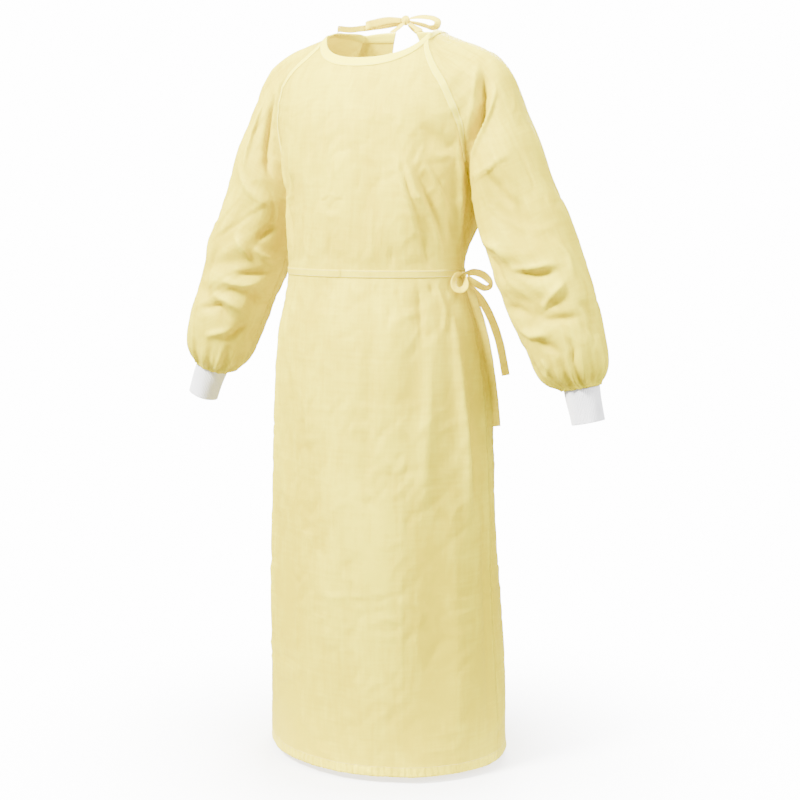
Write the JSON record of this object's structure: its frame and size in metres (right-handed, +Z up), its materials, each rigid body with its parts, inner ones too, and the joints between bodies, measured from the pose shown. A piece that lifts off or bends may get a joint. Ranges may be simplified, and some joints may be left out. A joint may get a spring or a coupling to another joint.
{
  "type": "isolation gown",
  "caption": "Long-sleeved protective gown of thin cloth, open down the back, with knit cuffs, a tied belt and a tied neck, filled out as worn.",
  "frame": {"origin": "middle of the neck opening, level with the side neck points, where the wearer's shoulders hold the gown up", "axes": "+Z up, -Y the gown's front, +X the wearer's left"},
  "size_m": [0.7968, 0.3568, 1.247],
  "materials": {
    "gown_cloth": "thin crisp pale yellow cloth with a slight sheen",
    "band_tape": "paler yellow tape, matt",
    "neck_tape": "pale yellow tape, matt",
    "tie_tape": "yellow tape, matt",
    "white_knit": "white rib knit, matt"
  },
  "bodies": {
    "root": {"front_panel": "gown_cloth", "back_panel_left": "gown_cloth", "back_panel_right": "gown_cloth", "sleeve_left": "gown_cloth", "sleeve_right": "gown_cloth", "raglan_band_front_left": "band_tape", "raglan_band_front_right": "band_tape", "raglan_band_back_left": "band_tape", "raglan_band_back_right": "band_tape", "neck_binding": "neck_tape", "waist_belt": "tie_tape", "waist_knot": "tie_tape", "waist_loop_back": "tie_tape", "waist_loop_front": "tie_tape", "waist_tail_back": "tie_tape", "waist_tail_front": "tie_tape", "neck_knot": "tie_tape", "neck_loop_left": "tie_tape", "neck_loop_right": "tie_tape", "neck_tail_left": "tie_tape", "neck_tail_right": "tie_tape", "neck_tie_lead_left": "tie_tape", "neck_tie_lead_right": "tie_tape", "cuff_left": "white_knit", "cuff_right": "white_knit"}
  },
  "joints": []
}
